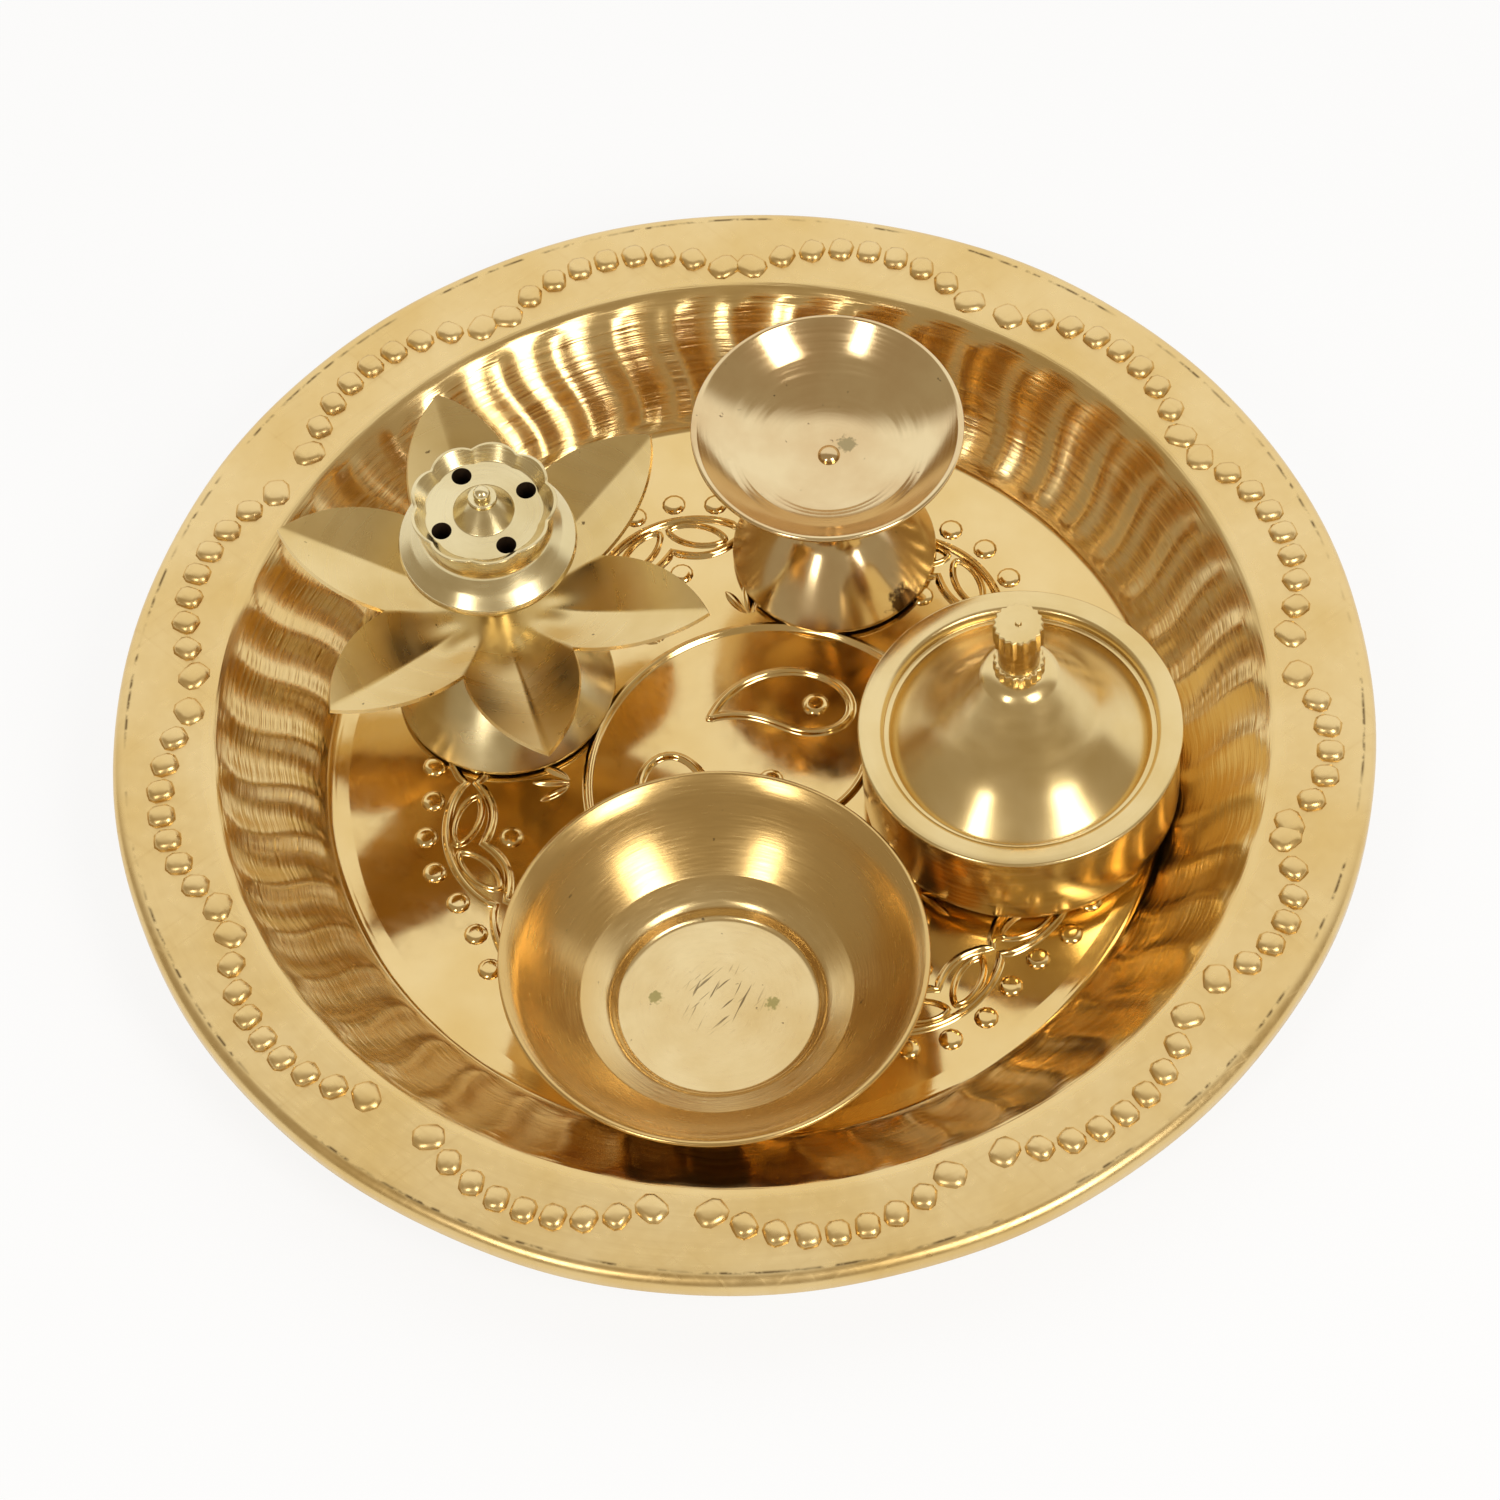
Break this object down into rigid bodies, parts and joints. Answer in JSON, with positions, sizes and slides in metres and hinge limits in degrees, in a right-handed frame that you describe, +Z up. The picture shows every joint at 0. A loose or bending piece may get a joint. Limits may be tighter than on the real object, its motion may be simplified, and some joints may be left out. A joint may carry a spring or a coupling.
{
  "type": "puja thali",
  "caption": "Round brass ritual plate with a fluted wall and beaded rim, carrying a lotus incense holder, a footed oil lamp, a flared bowl and a lidded powder box.",
  "frame": {"origin": "middle of the plate's flat underside, on the surface that it stands on", "axes": "+Z up along the plate's spin axis, +X to the right and +Y away from a viewer who has the bowl nearest"},
  "size_m": [0.1778, 0.1778, 0.0514],
  "materials": {
    "plate_brass": "bright spun and embossed sheet",
    "flower_brass": "pressed thin sheet, soft shine",
    "turned_brass": "turned and polished, pale",
    "lamp_brass": "polished with lathe rings",
    "satin_brass": "satin, brushed round",
    "box_brass": "smooth polished",
    "fastener_brass": "plain, dulled"
  },
  "bodies": {
    "plate": {"thali_plate": "plate_brass"},
    "incense_holder": {"incense_base": "turned_brass", "incense_flower": "flower_brass", "incense_cup": "turned_brass", "incense_screw": "fastener_brass"},
    "diya": {"diya_pedestal": "lamp_brass", "diya_dish": "lamp_brass", "diya_rivet": "fastener_brass"},
    "katori": {"katori_bowl": "satin_brass"},
    "powder_box": {"kumkum_box": "box_brass"},
    "powder_lid": {"kumkum_lid": "box_brass", "kumkum_knob": "box_brass", "kumkum_knob_screw": "fastener_brass"}
  },
  "joints": [
    {"name": "incense_lift", "type": "slide", "parent": "plate", "child": "incense_holder", "axis": [0, 0, 1], "range_m": [0, 0.12]},
    {"name": "diya_lift", "type": "slide", "parent": "plate", "child": "diya", "axis": [0, 0, 1], "range_m": [0, 0.12]},
    {"name": "katori_lift", "type": "slide", "parent": "plate", "child": "katori", "axis": [0, 0, 1], "range_m": [0, 0.12]},
    {"name": "powder_box_lift", "type": "slide", "parent": "plate", "child": "powder_box", "axis": [0, 0, 1], "range_m": [0, 0.12]},
    {"name": "powder_lid_lift", "type": "slide", "parent": "powder_box", "child": "powder_lid", "axis": [0, 0, 1], "range_m": [0, 0.06]}
  ]
}
